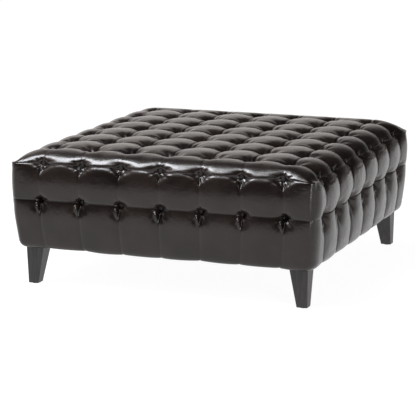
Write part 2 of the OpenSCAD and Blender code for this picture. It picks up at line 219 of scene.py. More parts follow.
# the sides slope in a little, turn under the frame and come up to the hem
TURN_Z, LOW_Z, HEM_Z = 0.150, 0.1220, 0.1268
SIDE_SLOPE, TURN_IN, HEM_HALF = 0.011, 0.017, 0.437
LOWER_BAND = MIDDLE_Z - TURN_Z

# the net's lines lie close together at the pleats and wide apart on the puffs
STEPS = 22
GATHER = 0.60
even = np.arange(STEPS) / STEPS
spread = even - GATHER * np.sin(2 * np.pi * even) / (2 * np.pi)
count = CELLS * STEPS + 1
cell = np.minimum(np.arange(count) // STEPS, CELLS - 1)
share = np.append(np.tile(spread, CELLS), 1.0)

# the roll goes from the last row of tufts over the shoulder, down to the edge pleat
on_roll = (cell == 0) | (cell == CELLS - 1)
roll_share = np.where(cell == 0, 1 - share, share) * on_roll


def rolled(turn, power):
    """Lays the net's lines over a shoulder that turns so far, and ever faster with the power."""
    arc = np.linspace(0, 1, 2001)
    bend = turn * arc ** power
    out = np.append(0, np.cumsum(np.cos(bend[1:])))
    out *= (EDGE_OUT - LAST_TUFT) / out[-1]
    down = np.append(0, np.cumsum(np.sin(bend[1:])))
    down /= down[-1]
    length = np.append(0, np.cumsum(np.hypot(np.diff(out), np.diff(down) * (CREST_Z - EDGE_Z))))
    reached = roll_share * length[-1]
    from_middle = LAST_TUFT + np.interp(reached, length, out)
    line = np.where(on_roll, np.where(cell == 0, -1, 1) * from_middle,
                    (cell + share - CELLS / 2) * PITCH)
    return line, 1 - np.interp(reached, length, down), length[-1]


# the left and right shoulders turn early and little, the front and back ones late and far
line_x, fall_x = rolled(0.80, 1.15)[:2]
line_y, fall_y, ROLL = rolled(1.22, 1.9)


def rounded(x, y, half):
    """Draws the corners of the square plan in, longer on the two sides than front and back."""
    past_x = (np.abs(x) - (half - CORNER_FRONT)) / CORNER_FRONT
    past_y = (np.abs(y) - (half - CORNER_SIDE)) / CORNER_SIDE
    corner = (past_x > 0) & (past_y > 0)
    past_x = np.where(corner, past_x, 0)
    past_y = np.where(corner, past_y, 0)
    far = np.maximum(past_x, past_y)
    near = np.minimum(past_x, past_y)
    turn = np.pi / 4 * near / np.maximum(far, 1e-9)
    long, short = far * np.cos(turn), far * np.sin(turn)
    round_x = np.where(past_x >= past_y, long, short)
    round_y = np.where(past_x >= past_y, short, long)
    return (np.where(corner, np.sign(x) * (half - CORNER_FRONT + CORNER_FRONT * round_x), x),
            np.where(corner, np.sign(y) * (half - CORNER_SIDE + CORNER_SIDE * round_y), y))


grid_x, grid_y = np.meshgrid(line_x, line_y, indexing="ij")
corner_full = np.outer(roll_share, roll_share) ** 1.5
swell = 1 + (BODY_HALF / EDGE_OUT - 1) * corner_full
plan_x, plan_y = rounded(grid_x, grid_y, EDGE_OUT)
plan_x, plan_y = plan_x * swell, plan_y * swell
grid_z = (EDGE_Z + (CREST_Z - EDGE_Z) * np.outer(fall_x, fall_y)
          + CROWN * (1 - (grid_x / BODY_HALF) ** 2) * (1 - (grid_y / BODY_HALF) ** 2))
index = np.arange(count * count).reshape(count, count)
top_points = np.stack([plan_x, plan_y, grid_z], -1).reshape(-1, 3)
top_faces = np.stack([index[:-1, :-1], index[1:, :-1], index[1:, 1:], index[:-1, 1:]],
                     -1).reshape(-1, 4)

# the side band's rows: two bands of puffs, then a turn under the frame to the hem; the first rows
# lie close together, where the pockets of the edge pleat are
UPPER_ROWS, LOWER_ROWS, TURN_ROWS = 28, 18, 6
CLOSE_ROWS, CLOSE_TO = 14, 0.28
spaced = np.linspace(0, 1, UPPER_ROWS - CLOSE_ROWS + 1)[1:]
upper = np.concatenate([np.linspace(0.02, CLOSE_TO, CLOSE_ROWS),
                        CLOSE_TO + (1 - CLOSE_TO) * np.sin(np.pi / 2 * spaced)])
lower = np.linspace(0, 1, LOWER_ROWS + 1)[1:] ** 1.4
under = np.linspace(0, np.pi / 2, TURN_ROWS + 1)[1:]
side_z = np.concatenate([
    EDGE_Z - UPPER_BAND * upper, MIDDLE_Z - LOWER_BAND * lower,
    TURN_Z + (LOW_Z - TURN_Z) * np.sin(under), [LOW_Z + 0.0008, HEM_Z, HEM_Z, HEM_Z]])
turn_in = SIDE_SLOPE + TURN_IN
side_in = np.concatenate([
    0 * upper, SIDE_SLOPE * lower ** 1.5,
    SIDE_SLOPE + TURN_IN * (1 - np.cos(under)),
    [turn_in + 0.0035, turn_in + 0.0075, turn_in + 0.02, BODY_HALF - HEM_HALF]])
ring = np.concatenate([index[:-1, 0], index[-1, :-1], index[:0:-1, -1], index[0, :0:-1]])
ring_points = top_points[ring]
along = (np.roll(ring_points, -1, 0) - np.roll(ring_points, 1, 0))[:, :2]
along /= np.linalg.norm(along, axis=1)[:, None]
outward = np.stack([along[:, 1], -along[:, 0]], -1)

# below the edge pleat each side comes out to its full width, the left and right ones sooner
ring_gap = (BODY_HALF - EDGE_OUT) * (1 - corner_full.reshape(-1)[ring])
ring_plan = ring_points / swell.reshape(-1)[ring][:, None] / EDGE_OUT
soon = 3.6 + 4 * outward[:, 0] ** 2
points, rows = [top_points], [ring]
for number, (z, inset) in enumerate(zip(side_z, side_in)):
    if number < UPPER_ROWS:
        inset = ring_gap * (1 - upper[number]) ** soon
    row = ring_plan * (BODY_HALF - inset + np.zeros(len(ring)))[:, None]
    row[:, 2] = z
    rows.append(sum(map(len, points)) + np.arange(len(ring)))
    points.append(row)
smooth = np.concatenate(points)
side_rows = np.stack(rows)
ahead_rows = np.roll(side_rows, -1, 1)
side_faces = np.stack([side_rows[:-1], side_rows[1:], ahead_rows[1:], ahead_rows[:-1]],
                      -1).reshape(-1, 4)


def smooth_mesh(name, corners, faces):
    """A smooth-shaded mesh object of these points and faces."""
    mesh = bpy.data.meshes.new(name)
    mesh.from_pydata([tuple(corner) for corner in corners], [], [tuple(face) for face in faces])
    mesh.update()
    made = bpy.data.objects.new(name, mesh)
    bpy.context.collection.objects.link(made)
    mesh.polygons.foreach_set("use_smooth", np.ones(len(mesh.polygons), bool))
    return made


cover = smooth_mesh("cover_net", smooth, np.concatenate([top_faces, side_faces]))
normals = np.zeros(len(smooth) * 3, np.float32)
cover.data.vertices.foreach_get("normal", normals)
normals = normals.reshape(-1, 3).astype(float)


def ebb(way, low, high):
    """0 before low, 1 after high and smooth between them."""
    way = np.clip((way - low) / (high - low), 0, 1)
    return way * way * (3 - 2 * way)


# how far the leather sinks between the puffs and in the pleats of the top, in the edge pleat and
# round the waist that the pleat draws in
TOP_DOME, TOP_CREASE, CREASE_WIDTH = 0.0060, 0.0016, 0.0030
EDGE_CREASE, EDGE_WIDTH, SIDE_WAIST = 0.0029, 0.0025, 0.0065

# puffs and pleats of the top; the pleats that run out over the roll soon ease away
dome_line = np.sin(np.pi * np.where(on_roll, np.minimum(roll_share, 0.5), share)) ** 0.9
run_out = np.where(on_roll, 0.10 + 0.90 * np.maximum(0, 1 - 2.2 * roll_share) ** 2, 1)
run_over = np.where(on_roll, 1 + 1.1 * np.sin(np.pi / 2 * roll_share), 1)
nearest = np.where(on_roll, roll_share * ROLL, np.minimum(share, 1 - share) * PITCH)
crease_line = np.exp(-nearest / CREASE_WIDTH)
dome_x = 1 - np.outer(1 - dome_line, run_out)
dome_y = 1 - np.outer(run_over, 1 - dome_line)
by_tuft = 1 + 2.5 * np.exp(-(np.hypot.outer(nearest, nearest) / 0.028) ** 2)
crease = np.maximum(np.outer(crease_line, run_out), np.outer(run_over, crease_line)) * by_tuft

# the edge pleat is a sharp crease at the front and back, and draws in a soft waist at the sides
to_edge = np.where(on_roll, (1 - roll_share) * ROLL, np.inf)
edge_crease = np.exp(-to_edge / EDGE_WIDTH)[None, :]
waist = np.exp(-(to_edge / 0.022) ** 2)[:, None] * (1 - corner_full)
sunk = np.zeros(len(smooth))
sunk[index] = (TOP_DOME * (1 - dome_x * dome_y) + TOP_CREASE * crease
               + EDGE_CREASE * edge_crease + SIDE_WAIST * waist)

# puffs and pleats of the side band: how far it sinks at the top, middle and underside of its two
# bands, in the upright pleats, and in the middle pleat's crease
BAND_TOP, BAND_LOW, BAND_UNDER = 0.0010, 0.0070, 0.0085
PLEAT, SIDE_CREASE, SIDE_LOBE = 0.0080, 0.0030, 0.003
MIDDLE_CREASE, LOW_CREASE = 0.0020, 0.0005
FULL_FOLD, LOW_FOLD = 0.018, 0.38
columns = np.arange(len(ring)) % (CELLS * STEPS)
column_share, column_cell = share[columns], cell[columns]
full_share = np.where(column_cell == 0, np.maximum(column_share, 0.5), np.where(
    column_cell == CELLS - 1, np.minimum(column_share, 0.5), column_share))
to_pleat = np.where(column_cell == 0, 1 - column_share, np.where(
    column_cell == CELLS - 1, column_share, np.minimum(column_share, 1 - column_share))) * PITCH
down_fold = (PLEAT * (1 - np.sin(np.pi * full_share) ** 0.6)
             + SIDE_CREASE * np.exp(-to_pleat / CREASE_WIDTH))
to_corner = np.where((column_cell == 0) | (column_cell == CELLS - 1), to_pleat / PITCH, 0)
ease_off = 1 - 0.75 * to_corner ** 1.5
on_side = np.abs(outward[:, 0]) > 0.6
down_fold = down_fold * np.where(on_side, 1.25, 1)
edge_fold = np.where(on_side, 0, 1)
near_tuft = np.maximum(0, 1 - to_pleat / 0.036)
arch = 0.0015 + 0.027 * near_tuft ** 1.6
lobe = np.where(on_side, np.sin(np.pi * column_share), 0)
side_waist = on_side * SIDE_WAIST * (1 - corner_full.reshape(-1)[ring])

# the upper band, whose fold arches down at each tuft of the front and back
for row, way in enumerate(upper, 1):
    band = (BAND_TOP + (BAND_LOW - BAND_TOP) * way) * (1 - np.sin(np.pi * way ** 1.3) ** 0.6)
    band = band * np.where(on_side, 0.6, 1)
    fold_depth = edge_fold * EDGE_CREASE * (1 + 2.5 * near_tuft)
    band = band + fold_depth / (1 + np.exp((way * UPPER_BAND - arch) / 0.0022))
    band += MIDDLE_CREASE * np.exp(-(1 - way) * UPPER_BAND / EDGE_WIDTH)
    band = band * ease_off
    deep = 0.22 + 0.78 * abs(2 * way - 1) ** 2.5
    deep = deep + on_side * 1.1 * max(0, 1 - 1.7 * way) ** 1.5
    band += side_waist * math.exp(-(way * UPPER_BAND / 0.024) ** 2)
    sunk[side_rows[row]] = (band + deep * down_fold * (1 - band / FULL_FOLD)
                            - SIDE_LOBE * lobe * math.sin(math.pi * way))

# the lower band, and the turn under the frame where the pleats die out
for row, way in enumerate(lower, UPPER_ROWS + 1):
    band = BAND_UNDER * (1 - np.sin(np.pi / 2 * min(1, way / 0.5)) ** 0.95)
    band = band * np.where(on_side, 0.6, 1)
    band += LOW_CREASE * np.exp(-way * LOWER_BAND / 0.0016)
    band = band * ease_off
    deep = LOW_FOLD + (1 - LOW_FOLD) * (1 - way) ** 3
    sunk[side_rows[row]] = band + deep * down_fold * (1 - band / FULL_FOLD)
FIRST_TURN = UPPER_ROWS + LOWER_ROWS + 1
for row in range(TURN_ROWS):
    sunk[side_rows[FIRST_TURN + row]] = down_fold * LOW_FOLD * (1 - row / TURN_ROWS)

# every tuft draws a pocket: a crumpled hollow with a deep hole in its middle; it reaches so far
# beside, above and below the tuft
TOP_DEPTH, SIDE_DEPTH = 0.035, BODY_HALF - 0.472
TOP_REACH = 0.044
EDGE_BESIDE, EDGE_ABOVE, EDGE_BELOW = 0.046, 0.027, 0.034
MIDDLE_BESIDE, MIDDLE_ABOVE, MIDDLE_BELOW = 0.034, 0.024, 0.042

# the hollow's share of the depth, the hole's width as a share of the reach, and the folds' height
TOP_HOLLOW, TOP_HOLE, TOP_FOLDS = 0.45, 0.34, 0.0018
EDGE_HOLLOW, EDGE_HOLE, EDGE_FOLDS = 0.52, 0.22, 0.0015
MIDDLE_HOLLOW, MIDDLE_HOLE, MIDDLE_FOLDS = 0.38, 0.25, 0.0011
picks = np.arange(1, CELLS) * STEPS
tuft_columns = np.flatnonzero((columns % STEPS == 0) & (columns > 0))
side_count = len(tuft_columns)
tufts = np.concatenate([index[np.ix_(picks, picks)].ravel(), side_rows[0][tuft_columns],
                        side_rows[UPPER_ROWS][tuft_columns]])
top_count = len(tufts) - 2 * side_count
is_top = np.zeros(len(smooth), bool)
is_top[:len(top_points)] = True
chance = np.random.default_rng(11)


def drawn_in(ratio, hollow, hole):
    """How far a tuft draws the leather in at each share of its reach, from 1 down to 0."""
    slope = 0.09 * np.log1p(np.exp((1 - ratio) / 0.09))
    return hollow * slope + (1 - hollow) * np.exp(-(ratio / hole) ** 2)


drawn = np.zeros(len(smooth))
pulled = np.zeros((len(smooth), 3))
ray_folds = np.zeros(len(smooth))
for number, tuft in enumerate(tufts):
    offset = smooth - smooth[tuft]
    reach = chance.uniform(0.9, 1.1)
    if number < top_count:
        depth = np.array([0, 0, -TOP_DEPTH])
        first, second = offset[:, 0] / TOP_REACH, offset[:, 1] / TOP_REACH
        ratio = np.hypot(first, second) / reach
        draw = drawn_in(ratio, TOP_HOLLOW, TOP_HOLE)
        height_of_fold = TOP_FOLDS
    else:
        facing = outward[tuft_columns[(number - top_count) % side_count]]
        beside = offset[:, 0] * -facing[1] + offset[:, 1] * facing[0]
        rise = np.sqrt(np.maximum((offset ** 2).sum(1) - beside ** 2, 0))
        if number < top_count + side_count:
            pull_in = SIDE_DEPTH - (BODY_HALF - EDGE_OUT)
            first = beside / EDGE_BESIDE
            second = np.where(is_top, rise / EDGE_ABOVE, -rise / EDGE_BELOW)
            wedge = (np.abs(first) ** 0.9 + np.abs(second) ** 0.9) ** (1 / 0.9)
            ratio = np.where(is_top, np.hypot(first, second), wedge) / reach
            draw = drawn_in(ratio, EDGE_HOLLOW, EDGE_HOLE)
            height_of_fold = EDGE_FOLDS
            lip_at, lip_width, lip_height = 0.78, 0.12, 0.0038
        else:
            # those of the left and right sides are wider, longer and more hollow
            pull_in = SIDE_DEPTH
            sideways = abs(facing[0])
            first = beside / (MIDDLE_BESIDE + 0.008 * sideways)
            below = MIDDLE_BELOW + 0.030 * sideways
            second = np.where(offset[:, 2] > 0, rise / MIDDLE_ABOVE, -rise / below)
            ratio = np.hypot(first, second) / reach
            draw = drawn_in(ratio, MIDDLE_HOLLOW + 0.26 * sideways, MIDDLE_HOLE)
            height_of_fold = MIDDLE_FOLDS
            lip_at, lip_width, lip_height = 0.52, 0.15, 0.0042
        depth = np.append(-facing * pull_in, 0)
    angle = np.arctan2(second, first)
    rays = sum(chance.uniform(0.1, 0.8) * np.cos(many * angle + chance.uniform(0, 6.28))
               for many in (3, 5, 7, 10, 13))
    half_way = (ratio / 0.55) ** 2
    ray_folds += height_of_fold * rays * (half_way * np.exp(1 - half_way))
    if number >= top_count:
        # the leather stands up in a lip at the lower left
        lower_left = np.exp(-((angle + 2.05 + chance.uniform(-0.2, 0.2)) / 0.50) ** 2)
        lip = np.exp(-((ratio - lip_at) / lip_width) ** 2) * lower_left * (ratio < 2)
        ray_folds -= lip_height * chance.uniform(0.8, 1.2) * lip
    nearer = draw > drawn
    drawn[nearer] = draw[nearer]
    pulled[nearer] = draw[nearer, None] * depth
shape = smooth + pulled - normals * (sunk * (1 - drawn) + ray_folds)[:, None]

# short grooves climb from the edge tufts over the roll, ridges and a groove hang below every
# side tuft, and two upright folds stand below each tuft of the middle pleat
CLIMB_WIDTH, CLIMB_DEPTH = 0.0019, 0.0022
HANG_WIDTH, HANG_DEPTH = 0.0032, 0.0032
RIDGE_WIDTH, FOLD_WIDTH = 0.0021, 0.0030
for number, tuft in enumerate(tufts[top_count:]):
    offset = smooth - smooth[tuft]
    facing = outward[tuft_columns[number % side_count]]
    beside = offset[:, 0] * -facing[1] + offset[:, 1] * facing[0]
    rise = np.sqrt(np.maximum((offset ** 2).sum(1) - beside ** 2, 0))
    above = rise * is_top
    below = rise * (offset[:, 2] < 0) * ~is_top
    near = np.abs(beside) < 0.03
    if number < side_count:
        for lean in (-0.28, 0.05, 0.30):
            lean += chance.uniform(-0.08, 0.08)
            length = chance.uniform(0.020, 0.032)
            groove = np.exp(-((beside - lean * above) / CLIMB_WIDTH) ** 2)
            groove *= ebb(above, 0.004, 0.010) * (1 - ebb(above, length * 0.6, length))
            shape -= normals * (CLIMB_DEPTH * groove * near)[:, None]
    for lean in (-0.55, -0.20, 0.12, 0.50):
        lean += chance.uniform(-0.12, 0.12)
        length = chance.uniform(0.016, 0.034)
        ridge = np.exp(-((beside - lean * below + 0.002) / RIDGE_WIDTH) ** 2)
        ridge *= ebb(below, 0.003, 0.010) * (1 - ebb(below, length * 0.5, length))
        shape += normals * (chance.uniform(0.0022, 0.0046) * ridge * near)[:, None]
    groove = np.exp(-(beside / HANG_WIDTH) ** 2) * (1 - ebb(below, 0.018, 0.052))
    shape -= normals * (HANG_DEPTH * groove * ebb(below, 0, 0.008) * near)[:, None]
    if number >= side_count:
        for start, lean, height in ((-0.007, 0.05, 0.0074), (-0.014, 0.30, 0.0056)):
            middle = start + (lean + chance.uniform(-0.08, 0.08)) * below
            fold = np.exp(-((beside - middle) / FOLD_WIDTH) ** 2)
            fold *= ebb(below, 0.008, 0.015) * (1 - ebb(below, 0.020, 0.042))
            shape += normals * (height * chance.uniform(0.8, 1.2) * fold * near)[:, None]

# the hem hangs in shallow scallops between the pleats
ring_place = np.cumsum(np.linalg.norm(np.diff(ring_points, axis=0, append=ring_points[:1]),
                                      axis=1))
sway = 0.0009 * np.sin(ring_place * 11.3) + 0.0007 * np.sin(ring_place * 29 + 1.7)
for row in range(TURN_ROWS + 1):
    deep = min(1, (row + 1) / TURN_ROWS)
    shape[side_rows[FIRST_TURN + row], 2] += deep * (sway + 0.30 * (down_fold - 0.004))
cover.data.vertices.foreach_set("co", shape.astype(np.float32).reshape(-1))
cover.data.update()

# the filling presses the leather out between its tufts and pleats
LAST_SHOT, MOST_SHIFT, WELL_DRAWN = 16, 0.014, 0.18
hold = np.zeros(len(smooth))
held_lines = np.flatnonzero(run_out > 0.9)
for pick in picks:
    hold[index[pick, held_lines]] = 1
    hold[index[held_lines, pick]] = 1
hold[side_rows[[0, UPPER_ROWS]]] = 1
hold[side_rows[:UPPER_ROWS + LOWER_ROWS][:, tuft_columns]] = 1
hold[side_rows[FIRST_TURN:]] = 1
hold[drawn > WELL_DRAWN] = 1
fullness = np.zeros(len(smooth))
fullness[side_rows] = 0.5
for name, weights in (("held", hold), ("fullness", fullness)):
    group = cover.vertex_groups.new(name=name)
    for weight in np.unique(weights[weights > 0]):
        group.add(np.flatnonzero(weights == weight).tolist(), float(weight), "REPLACE")
cloth = cover.modifiers.new("filling", "CLOTH")
hide_and_filling = cloth.settings
for setting, value in (("vertex_group_mass", "held"), ("vertex_group_shrink", "fullness"),
                       ("pin_stiffness", 1.0), ("shrink_min", -0.012), ("shrink_max", 0.0),
                       ("quality", 5), ("mass", 0.3),
                       ("tension_stiffness", 15), ("compression_stiffness", 4),
                       ("shear_stiffness", 5), ("bending_stiffness", 40),
                       ("tension_damping", 5), ("compression_damping", 5),
                       ("air_damping", 2),
                       ("use_pressure", True), ("uniform_pressure_force", 5)):
    setattr(hide_and_filling, setting, value)
hide_and_filling.effector_weights.gravity = 0
cloth.point_cache.frame_start, cloth.point_cache.frame_end = 1, LAST_SHOT
for shot in range(1, LAST_SHOT + 1):
    bpy.context.scene.frame_set(shot)
worked = cover.evaluated_get(bpy.context.evaluated_depsgraph_get()).to_mesh()
moved = np.zeros(len(smooth) * 3, np.float32)
worked.vertices.foreach_get("co", moved)
shift = moved.reshape(-1, 3).astype(float) - shape
far = np.linalg.norm(shift, axis=1)

# the shift is capped, and scaled down to a fifth on the front and back
give = 1 - 0.80 * ebb(np.abs(smooth[:, 1]), LAST_TUFT - 0.035, LAST_TUFT + 0.010)
give *= np.minimum(1, MOST_SHIFT / np.maximum(far, 1e-9))
shape = shape + shift * give[:, None]
cover.modifiers.remove(cloth)
bpy.context.scene.frame_set(1)


def end_with(wire, colour, roughness, relief, others=None, strength=1.0):
    """Ends a material in a shader with a relief in metres, and other sockets if there are any."""
    bump = wire.node("ShaderNodeBump", {}, {
        "Height": relief, "Distance": 1.0, "Strength": strength})
    surface = wire.node("ShaderNodeBsdfPrincipled", {}, {
        "Base Color": colour, "Roughness": roughness, "Normal": bump, **(others or {})})
    wire.node("ShaderNodeOutputMaterial", {}, {"Surface": surface})


def leather(name, tone, sheen):
    """Coated leather: fine grain, soft creases, and a sheen that is rubbed in patches."""
    finish, hide = paint(name)
    spot = hide.node("ShaderNodeTexCoord", out=3)
    patches = hide.node("ShaderNodeTexNoise", {}, {"Vector": spot, "Scale": 13.0, "Detail": 5.0})
    grain = hide.node("ShaderNodeTexVoronoi", {"feature": "SMOOTH_F1"},
                      {"Vector": spot, "Scale": 620.0, "Smoothness": 0.6})
    pores = hide.node("ShaderNodeTexNoise", {}, {"Vector": spot, "Scale": 1500.0})
    folds = hide.node("ShaderNodeTexNoise", {}, {"Vector": spot, "Scale": 60.0, "Detail": 5.0,
                                                 "Roughness": 0.62, "Distortion": 0.8})
    swells = hide.node("ShaderNodeTexNoise", {}, {"Vector": spot, "Scale": 22.0, "Detail": 2.0})
    relief = grain * 0.00016 + pores * 0.00005 + folds * 0.0014 + swells * 0.0016
    colour = patches.step(0.35, 0.65).mix(tone, tuple(part * 2.3 for part in tone))
    end_with(hide, colour, sheen + patches * 0.08, relief, {
        "IOR": 1.43, "Specular Tint": (1.0, 0.93, 0.90),
        "Coat Weight": 0.10, "Coat Roughness": 0.08}, strength=0.5)
    return finish


cover_leather = leather("cover_leather", (0.0050, 0.0033, 0.0028), 0.20)


def leather_panel(name, faces, stands_for):
    """Cuts one panel out of the net, with a level of subdivision."""
    used = np.unique(faces)
    renumber = np.zeros(len(shape), int)
    renumber[used] = np.arange(len(used))
    panel = smooth_mesh(name, shape[used], renumber[faces])
    panel.data.materials.append(cover_leather)
    panel.modifiers.new("subdivision", "SUBSURF").render_levels = 1
    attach(panel, "root")
    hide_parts(*stands_for)
    return panel


leather_panel("top_panel", top_faces, ["top_cover"])
leather_panel("side_band", side_faces, ["cover_front", "cover_back", "cover_left", "cover_right"])
bpy.data.objects.remove(cover)

# Buttons
# Small domed moulds wrapped in the same leather, one to each tuft of the top, the edge pleat and
# the middle pleat. Waxed twine pulls each one down in its pocket.


def finish_nodes(finish, *names):
    """Gives these CAD nodes one finish in place of their plain one."""
    for name in names:
        cad[name].data.materials.clear()
        cad[name].data.materials.append(finish)


button_leather = leather("button_leather", (0.004, 0.003, 0.0028), 0.55)
finish_nodes(button_leather, "top_buttons", "edge_buttons", "side_buttons")

# Legs
# Tapered beech blocks, stained espresso and lacquered. One is screwed up under each corner on its
# own hanger bolt.
leg_finish, wood = paint("stained_beech")
spot = wood.node("ShaderNodeTexCoord", out=3)
stretched = wood.node("ShaderNodeMapping", {}, {"Vector": spot, "Scale": (260.0, 260.0, 14.0)})
fibre = wood.node("ShaderNodeTexNoise", {}, {"Vector": stretched, "Scale": 1.0, "Detail": 4.0})
espresso = fibre.step(0.35, 0.65).mix((0.010, 0.008, 0.0085), (0.026, 0.021, 0.022))
end_with(wood, espresso, 0.36 + fibre * 0.12, fibre * 0.00025)
finish_nodes(leg_finish, "leg_front_left", "leg_front_right", "leg_back_left", "leg_back_right")

# Glides
# Low discs of dark nylon, on which the ottoman stands. One is nailed up into the foot of each leg,
# so that it slides on the floor.
nylon_finish, nylon = paint("glide_nylon")
spot = nylon.node("ShaderNodeTexCoord", out=3)
mottle = nylon.node("ShaderNodeTexNoise", {}, {"Vector": spot, "Scale": 260.0, "Detail": 3.0})
scuffs = nylon.node("ShaderNodeTexNoise", {}, {"Vector": spot, "Scale": 1400.0, "Detail": 2.0})
dark_nylon = mottle.step(0.35, 0.65).mix((0.030, 0.030, 0.031), (0.048, 0.047, 0.046))
end_with(nylon, dark_nylon, 0.42 + scuffs * 0.20, scuffs * 0.00006)
finish_nodes(nylon_finish, "glides")

# Bolts, inserts, washers, screws and staples
# The legs turn on zinc-plated bolts in brass inserts. Plated washers hold the twine behind the
# wood, countersunk screws join the frame, and fine wire staples close the underside.


def metal(name, tone, worn, sheen, thread=0.0):
    """Plated metal, a little cloudy and scuffed. The pitch of a thread gives fine ridges."""
    finish, plate = paint(name)
    place = plate.node("ShaderNodeTexCoord", out=3)
    cloud = plate.node("ShaderNodeTexNoise", {}, {"Vector": place, "Scale": 85.0, "Detail": 4.0})
    scuff = plate.node("ShaderNodeTexNoise", {}, {"Vector": place, "Scale": 900.0, "Detail": 3.0})
    height = scuff * 0.00003
    if thread:
        turns = place.xyz()[2] * (2 * math.pi / thread)
        height = height + turns.sine() * 0.00018
    colour = cloud.step(0.32, 0.70).mix(tone, worn)
    end_with(plate, colour, sheen + scuff * 0.16, height, {"Metallic": 1.0})
    return finish


bolt_zinc = metal("bolt_zinc", (0.52, 0.53, 0.54), (0.36, 0.36, 0.36), 0.26, thread=0.00125)
finish_nodes(bolt_zinc, "hanger_bolts")
insert_brass = metal("insert_brass", (0.58, 0.43, 0.19), (0.40, 0.28, 0.11), 0.30, thread=0.0022)
finish_nodes(insert_brass, "threaded_inserts")
washer_zinc = metal("washer_zinc", (0.56, 0.56, 0.55), (0.42, 0.41, 0.38), 0.24)
finish_nodes(washer_zinc, "top_washers", "edge_washers", "side_washers")
bright_wire = metal("fastener_steel", (0.50, 0.50, 0.51), (0.30, 0.29, 0.28), 0.32)
finish_nodes(bright_wire, "staples", "frame_screws")

# Twine
# Waxed polyester tufting twine in three twisted plies. Each length runs from its button through
# the foam and a hole in the wood to its washer.
twine_finish, yarn = paint("tufting_twine")
spot = yarn.node("ShaderNodeTexCoord", out=3)
run_x, run_y, run_z = spot.xyz()
twist = ((run_x + run_y + run_z) * 2600.0).sine()
fluff = yarn.node("ShaderNodeTexNoise", {}, {"Vector": spot, "Scale": 1800.0, "Detail": 3.0})
waxed = twist.step(-0.9, 0.6).mix((0.46, 0.42, 0.33), (0.66, 0.62, 0.51))
end_with(yarn, waxed, 0.48 + fluff * 0.22, twist * 0.00012 + fluff * 0.00005)
finish_nodes(twine_finish, "top_twine", "edge_twine", "side_twine")

# Deck and rails
# Raw birch plywood: four rails on edge, screwed at the corners, and a deck screwed down on them.
# Its thin plies show as stripes on every cut edge.
PLY = 0.0014


def plywood(name, through, along):
    """Birch plywood whose plies lie across one axis and whose face grain runs along another."""
    finish, board = paint(name)
    spot = board.node("ShaderNodeTexCoord", out=3)
    stretch = tuple(9.0 if axis == along else 210.0 for axis in range(3))
    longwise = board.node("ShaderNodeMapping", {}, {"Vector": spot, "Scale": stretch})
    grain = board.node("ShaderNodeTexNoise", {}, {"Vector": longwise, "Scale": 1.0, "Detail": 5.0,
                                                  "Distortion": 0.5})
    figure = board.node("ShaderNodeTexNoise", {}, {"Vector": spot, "Scale": 5.0, "Detail": 2.0})
    facing = board.node("ShaderNodeTexCoord", out=1).xyz()[through]
    cut_edge = 1 - (facing * facing).step(0.3, 0.6)
    plies = (spot.xyz()[through] * (math.pi / PLY)).sine().step(-0.25, 0.25)
    figured = (grain * 0.75 + figure * 0.25).step(0.30, 0.68)
    face = figured.mix((0.47, 0.32, 0.17), (0.60, 0.44, 0.26))
    stripes = plies.mix((0.30, 0.18, 0.09), (0.55, 0.40, 0.23))
    end_with(board, cut_edge.mix(face, stripes), 0.58 + grain * 0.16,
             grain * 0.00016 + plies * cut_edge * 0.00012)
    return finish


finish_nodes(plywood("deck_plywood", through=2, along=0), "deck")
finish_nodes(plywood("long_rail_plywood", through=1, along=0), "rail_front", "rail_back")
finish_nodes(plywood("side_rail_plywood", through=0, along=1), "rail_left", "rail_right")

# Bearers, slats and corner blocks
# Planed pine: two bearers on edge under the deck, two slats across the bottom, and a block in
# each corner that takes the leg's insert.


def pine(name, along):
    """Planed softwood with its growth rings drawn out along one axis."""
    finish, plank = paint(name)
    spot = plank.node("ShaderNodeTexCoord", out=3)
    place = spot.xyz()
    stretch = tuple(3.5 if axis == along else 28.0 for axis in range(3))
    longwise = plank.node("ShaderNodeMapping", {}, {"Vector": spot, "Scale": stretch})
    waver = plank.node("ShaderNodeTexNoise", {}, {"Vector": longwise, "Scale": 1.0, "Detail": 3.0})
    fine = plank.node("ShaderNodeMapping", {}, {"Vector": spot, "Scale": tuple(
        16.0 if axis == along else 700.0 for axis in range(3))})
    fibre = plank.node("ShaderNodeTexNoise", {}, {"Vector": fine, "Scale": 1.0, "Detail": 3.0})
    across = place[(along + 1) % 3] + place[(along + 2) % 3] * 0.45
    rings = (across * 1150.0 + waver * 9.0).sine().step(-0.7, 0.95)
    colour = (rings * 0.8 + fibre * 0.2).mix((0.68, 0.52, 0.31), (0.46, 0.28, 0.13))
    end_with(plank, colour, 0.50 + fibre * 0.18, fibre * 0.00014 + rings * 0.00008)
    return finish


finish_nodes(pine("bearer_pine", along=1), "bearer_left", "bearer_right", "base_slat_left",
             "base_slat_right")
finish_nodes(pine("block_pine", along=2), "corner_block_front_left", "corner_block_front_right",
             "corner_block_back_left", "corner_block_back_right")

# Foam
# A slab of cream upholstery foam some 50 mm thick on the deck and a thin sheet on each side, cut
# square and glued on. The buttons' twine dimples each one where it pulls the leather in.
foam_finish, cells = paint("cream_foam")
spot = cells.node("ShaderNodeTexCoord", out=3)
pores = cells.node("ShaderNodeTexVoronoi", {}, {"Vector": spot, "Scale": 700.0})
tint = cells.node("ShaderNodeTexNoise", {}, {"Vector": spot, "Scale": 7.0, "Detail": 3.0})
mottled = (tint * 0.7 + pores * 0.3).step(0.25, 0.75)
cream = mottled.mix((0.64, 0.50, 0.24), (0.74, 0.63, 0.37))
end_with(cells, cream, 0.86 + pores * 0.10, pores * 0.0006)

# how far out each side sheet's faces lie, how low it starts, and the slab's underside and top
FOAM_OUT, FOAM_IN, FOAM_LOW, DECK_Z, FOAM_TOP = 0.4645, 0.4575, 0.1285, 0.3413, 0.3900

